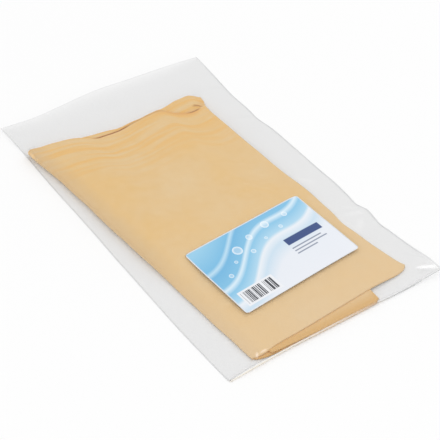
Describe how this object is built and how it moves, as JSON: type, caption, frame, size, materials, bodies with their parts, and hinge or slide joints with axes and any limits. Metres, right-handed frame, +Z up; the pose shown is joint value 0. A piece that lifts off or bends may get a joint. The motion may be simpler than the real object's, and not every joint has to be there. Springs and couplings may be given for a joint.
{
  "type": "chamois leather in bag",
  "caption": "Folded natural chamois leather in a clear flat bag, open at one short side, with a rectangular label on its front film.",
  "frame": {"origin": "on the floor under the middle of the bag's outline, at the underside of the back film", "axes": "+X across the bag, +Y along the bag towards its open mouth, +Z up through the front film"},
  "size_m": [0.175, 0.276, 0.0062],
  "materials": {
    "chamois": "soft suede nap, matte",
    "film": "clear polyethylene film, glossy",
    "weld": "clear fused film, glossy",
    "label": "coated label paper, satin"
  },
  "bodies": {
    "bag": {"bag_back_film": "film", "bag_front_film": "film", "bag_left_weld": "weld", "bag_right_weld": "weld", "bag_bottom_fold": "weld", "label_sticker": "label"},
    "leather": {"chamois_leather": "chamois"}
  },
  "joints": [
    {"name": "leather_slide", "type": "slide", "parent": "bag", "child": "leather", "axis": [0, 1, 0], "range_m": [0, 0.28]}
  ]
}
